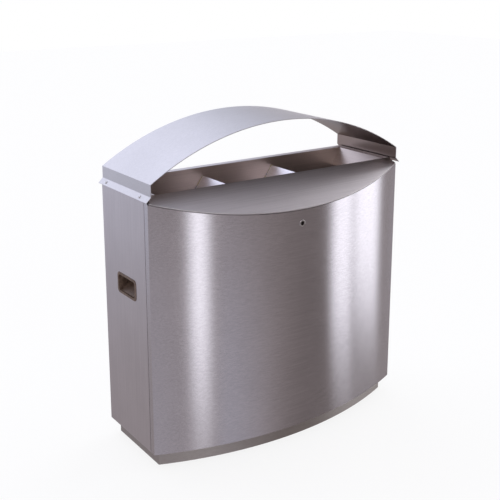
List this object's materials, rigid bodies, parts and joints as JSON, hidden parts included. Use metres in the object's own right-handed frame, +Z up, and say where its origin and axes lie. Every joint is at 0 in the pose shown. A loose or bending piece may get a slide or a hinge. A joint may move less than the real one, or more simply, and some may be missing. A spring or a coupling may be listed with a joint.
{
  "type": "litter bin",
  "caption": "Free-standing bow-fronted steel litter bin with open throats under an arched canopy, liners and a hinged locking front door.",
  "frame": {"origin": "on the floor, under the middle of the whole bin's bounding box", "axes": "+Z up, the bowed front faces -Y, +X to the right of someone standing in front and looking at it"},
  "size_m": [1.0172, 0.4136, 1.08],
  "materials": {
    "body_steel": "fine brushed, satin",
    "canopy_steel": "fine brushed, satin",
    "door_steel": "fine brushed across, satin",
    "deck_steel": "fine brushed across, satin",
    "throat_steel": "brushed",
    "plinth_steel": "brushed, dull",
    "frame_steel": "mill finish",
    "liner_steel": "hot-dip galvanised, spangled",
    "rubber": "matt",
    "cup_plastic": "moulded, lightly textured",
    "hardware_steel": "turned",
    "lock_chrome": "nickel plated",
    "lock_zinc": "zinc plated"
  },
  "bodies": {
    "bin_body": {"base_plate": "frame_steel", "plinth_front": "plinth_steel", "plinth_back": "plinth_steel", "plinth_left": "plinth_steel", "plinth_right": "plinth_steel", "floor_pads": "rubber", "back_panel": "body_steel", "left_side_panel": "body_steel", "right_side_panel": "body_steel", "left_jamb": "frame_steel", "right_jamb": "frame_steel", "front_deck": "deck_steel", "chute_front_plate": "throat_steel", "chute_back_plate": "throat_steel", "left_end_chute": "throat_steel", "right_end_chute": "throat_steel", "left_divider": "throat_steel", "right_divider": "throat_steel", "canopy": "canopy_steel", "canopy_seals": "rubber", "canopy_screws": "hardware_steel", "canopy_nuts": "hardware_steel", "left_handle_cup": "cup_plastic", "right_handle_cup": "cup_plastic", "liner_rails": "frame_steel", "liner_left": "liner_steel", "liner_middle": "liner_steel", "liner_right": "liner_steel", "door_bumpers": "rubber", "hinge_leaves_fixed": "hardware_steel", "hinge_pins": "hardware_steel", "hinge_rivets_fixed": "hardware_steel", "lock_catch": "frame_steel"},
    "door": {"door_skin": "door_steel", "door_rib_lower": "frame_steel", "door_rib_middle": "frame_steel", "door_rib_upper": "frame_steel", "hinge_leaves_moving": "hardware_steel", "hinge_rivets_moving": "hardware_steel", "lock_body": "lock_chrome", "lock_nut": "lock_chrome"},
    "lock_core": {"lock_plug": "lock_chrome", "lock_cam": "lock_zinc", "lock_cam_screw": "lock_zinc"}
  },
  "joints": [
    {"name": "door_hinge", "type": "hinge", "parent": "bin_body", "child": "door", "pos_m": [0.5037, -0.08025, 0.47], "axis": [0, 0, 1], "range_deg": [0, 110]},
    {"name": "lock_turn", "type": "hinge", "parent": "door", "child": "lock_core", "pos_m": [0, -0.19525, 0.759], "axis": [0, 1, 0], "range_deg": [0, 90]}
  ]
}
